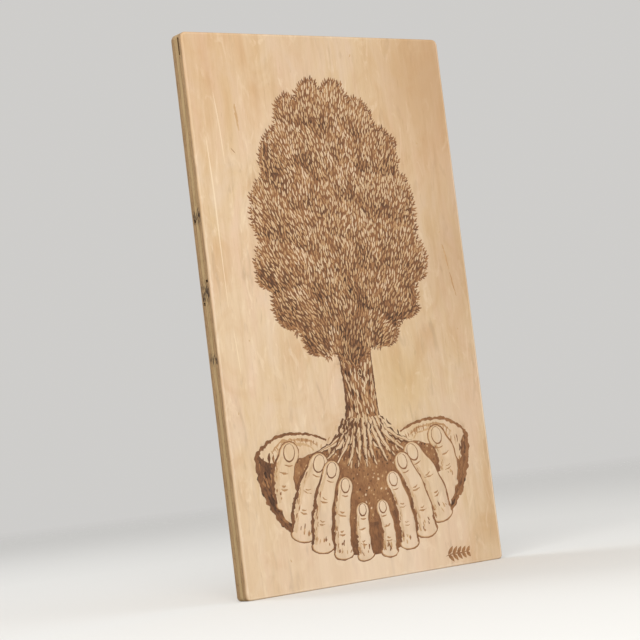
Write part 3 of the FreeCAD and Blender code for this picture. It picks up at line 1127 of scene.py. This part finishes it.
def torn(n, colour, x, z):
    """Dark torn marks in a ply, in spots along its left edge."""
    specks = n.noise((300, 950, 135), 4, 0.66, 0.15)
    leftness = n.span(x, LEFT_PART, 0, 1, 0)
    for height, reach in TORN_SPOTS:
        off = n.math("ABSOLUTE", n.math("SUBTRACT", z, height * MM))
        near = n.math("MULTIPLY", n.span(off, 0, reach * MM, 1, 0), leftness)
        marks = n.span(n.math("MULTIPLY_ADD", near, 0.16, specks), 0.6, 0.68)
        shown = n.math("MULTIPLY", n.math("MULTIPLY", marks, near), 1.6, clamp=True)
        colour = n.mix(shown, colour, srgb(62, 47, 36))
    return colour


def glued(n, colour, y, low, high):
    """A dark glue line along each face of a ply, a little wavy."""
    wander = n.math("MULTIPLY", n.math("SUBTRACT", n.noise((60, 0, 60), 2), 0.5), GLUE_WANDER)
    y = n.math("ADD", y, wander)
    near_low = n.span(n.math("SUBTRACT", y, low), 0, GLUE, 1, 0)
    near_high = n.span(n.math("SUBTRACT", high, y), 0, GLUE, 1, 0)
    line = n.math("MULTIPLY", n.math("MAXIMUM", near_low, near_high), 0.75)
    return n.mix(line, colour, srgb(84, 56, 36))


def ply_wood(name, low, high, light, dark, deep, pores_from):
    """An inner ply as the board's edges show it: fine layers, dark pores and two glue lines."""
    n = Nodes(name)
    layers = n.noise((45, 800, 45), 5, 0.66, 0.5)
    fibre = n.noise((110, 1600, 110), 4, 0.6, 0.3)
    lightest = tuple(min(1, c * 1.12) for c in light)
    colour = n.ramp(layers, (0.3, dark), (0.52, light), (0.75, lightest))
    colour = n.mix(n.span(fibre, 0.52, 0.75, 0, 0.6), colour, dark)
    pores = n.noise((900, 1500, 420), 2, 0.5)
    colour = n.mix(n.span(pores, pores_from, 0.72, 0, 0.8), colour, deep)
    x, y, z = n.place()
    colour = glued(n, torn(n, colour, x, z), y, low, high)
    roughness = n.span(fibre, 0.3, 0.7, 0.62, 0.82)
    relief = n.bump(pores, 0.4, 0.0004, n.bump(fibre, 0.5, 0.0005))
    return n.finish(colour, roughness, relief, specular=0.2)


def zinc(name, tone, grain):
    """Plated steel: a cloudy tone, and a fine grain with its own scale along x, y and z."""
    n = Nodes(name)
    cloud = n.noise((300, 300, 300), 4, 0.6)
    fine = n.noise(grain, 4, 0.6)
    colour = n.ramp(cloud, (0.3, (*(c * 0.86 for c in tone), 1)), (0.7, (*tone, 1)))
    roughness = n.span(n.math("ADD", cloud, fine), 0.7, 1.3, 0.22, 0.42)
    return n.finish(colour, roughness, n.bump(fine, 0.15, 0.0001), metallic=1)


def bumper_rubber():
    n = Nodes("bumper_rubber")
    grain = n.noise((2500, 2500, 2500), 3, 0.6)
    dust = n.noise((160, 160, 160), 4, 0.6)
    colour = n.stack(srgb(30, 29, 28), (dust, 0.45, 0.8, 0.5, (74, 70, 64)))
    roughness = n.span(dust, 0.3, 0.7, 0.5, 0.75)
    return n.finish(colour, roughness, n.bump(grain, 0.3, 0.0001))


def cover(node, material):
    """Gives a CAD node's object one material."""
    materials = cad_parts[node].data.materials
    materials.clear()
    materials.append(material)


# ---- stage, lights and camera

# The floor is whole near the board and fades out with distance
FLOOR_WHOLE = 0.9
FLOOR_GONE = 5

# The camera stands low and to the board's left, and is rolled about its line of sight
VIEW_AZIMUTH = -35.6
VIEW_ELEVATION = -4.07
VIEW_ROLL = -7
VIEW_DISTANCE = 1.8679
VIEW_AIM = (-0.0177, 0.0144, 0.2525)


def stage_floor():
    bpy.ops.mesh.primitive_circle_add(vertices=96, radius=6, fill_type="NGON")
    floor = bpy.context.object
    floor.name = "floor"
    n = Nodes("pale_floor")
    n.finish((0.78, 0.78, 0.77, 1), 0.9, specular=0.1)
    clear = n.add("BsdfTransparent")
    x, y, _ = n.place()
    away = n.math("SQRT", n.math("ADD", n.math("POWER", x, 2), n.math("POWER", y, 2)))
    faded = n.span(away, FLOOR_WHOLE, FLOOR_GONE)
    blend = n.add("MixShader", {0: faded, 1: n.shader.outputs[0], 2: clear.outputs[0]})
    n.put(n.output, blend.outputs[0])
    floor.data.materials.append(n.material)


def outward(azimuth, elevation):
    """The direction from the board towards a light or camera."""
    a, e = radians(azimuth), radians(elevation)
    return Vector((sin(a) * cos(e), -cos(a) * cos(e), sin(e)))


def area_light(name, azimuth, elevation, distance, size, power, colour=(1, 1, 1)):
    """A square soft light aimed at the middle of the board."""
    data = bpy.data.lights.new(name, "AREA")
    data.size = size
    data.energy = power
    data.color = colour
    light = add_object(name, data)
    back = outward(azimuth, elevation)
    light.location = Vector((0, 0, HEIGHT / 2 * MM)) + back * distance
    light.rotation_euler = back.to_track_quat("Z", "Y").to_euler()


def lights():
    world = bpy.data.worlds.new("studio")
    bpy.context.scene.world = world
    world.use_nodes = True
    sky = world.node_tree.nodes["Background"]
    sky.inputs["Color"].default_value = (1, 0.985, 0.96, 1)
    sky.inputs["Strength"].default_value = 0.62
    area_light("key", azimuth=-42, elevation=38, distance=2.2, size=1.3, power=26, colour=(1, 0.97, 0.92))
    area_light("fill", azimuth=30, elevation=20, distance=2.8, size=1.8, power=8)
    area_light("rim", azimuth=200, elevation=40, distance=2.5, size=1.2, power=16)


def camera():
    data = bpy.data.cameras.new("camera")
    data.lens = 109
    data.clip_start = 0.05
    data.clip_end = 50
    cam = add_object("camera", data)
    back = outward(VIEW_AZIMUTH, VIEW_ELEVATION)
    turn = back.to_track_quat("Z", "Y").to_matrix().to_4x4()
    cam.matrix_world = (Matrix.Translation(Vector(VIEW_AIM) + back * VIEW_DISTANCE) @ turn
                        @ Matrix.Rotation(radians(VIEW_ROLL), 4, "Z"))
    bpy.context.scene.camera = cam


# ---- the whole plaque

def dress_plies():
    """The inner plies: the cross plies are more speckled, and the core is paler."""
    cross = srgb(168, 138, 99), srgb(134, 102, 68), srgb(84, 60, 40), 0.58
    core = srgb(180, 153, 112), srgb(150, 122, 84), srgb(100, 76, 50), 0.66
    for name, looks, ends in (
        ("front_cross", cross, ("lower", "upper")),
        ("core", core, ("left", "right")),
        ("rear_cross", cross, ("lower", "middle", "upper")),
    ):
        nodes = [name + "_ply_" + end for end in ends]
        low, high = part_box(nodes[0])
        material = ply_wood(name + "_wood", low.y, high.y, *looks)
        for node in nodes:
            cover(node, material)


def dress():
    face = burned_face()
    face.data.materials.append(face_wood())
    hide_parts("front_face_veneer")
    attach(face, "plaque")

    cover("back_face_veneer", back_wood())
    dress_plies()
    hardware = {
        "hanger_strap": zinc("strap_zinc", (0.72, 0.72, 0.7), (200, 200, 2600)),
        "hanging_ring": zinc("ring_zinc", (0.76, 0.76, 0.75), (900, 900, 900)),
        "hanger_screw": zinc("screw_zinc", (0.68, 0.66, 0.6), (700, 3000, 700)),
        "bumper": bumper_rubber(),
    }
    for piece, material in hardware.items():
        cover("left_" + piece, material)
        cover("right_" + piece, material)


bpy.context.scene.view_settings.view_transform = "Standard"
dress()
stage_floor()
lights()
camera()
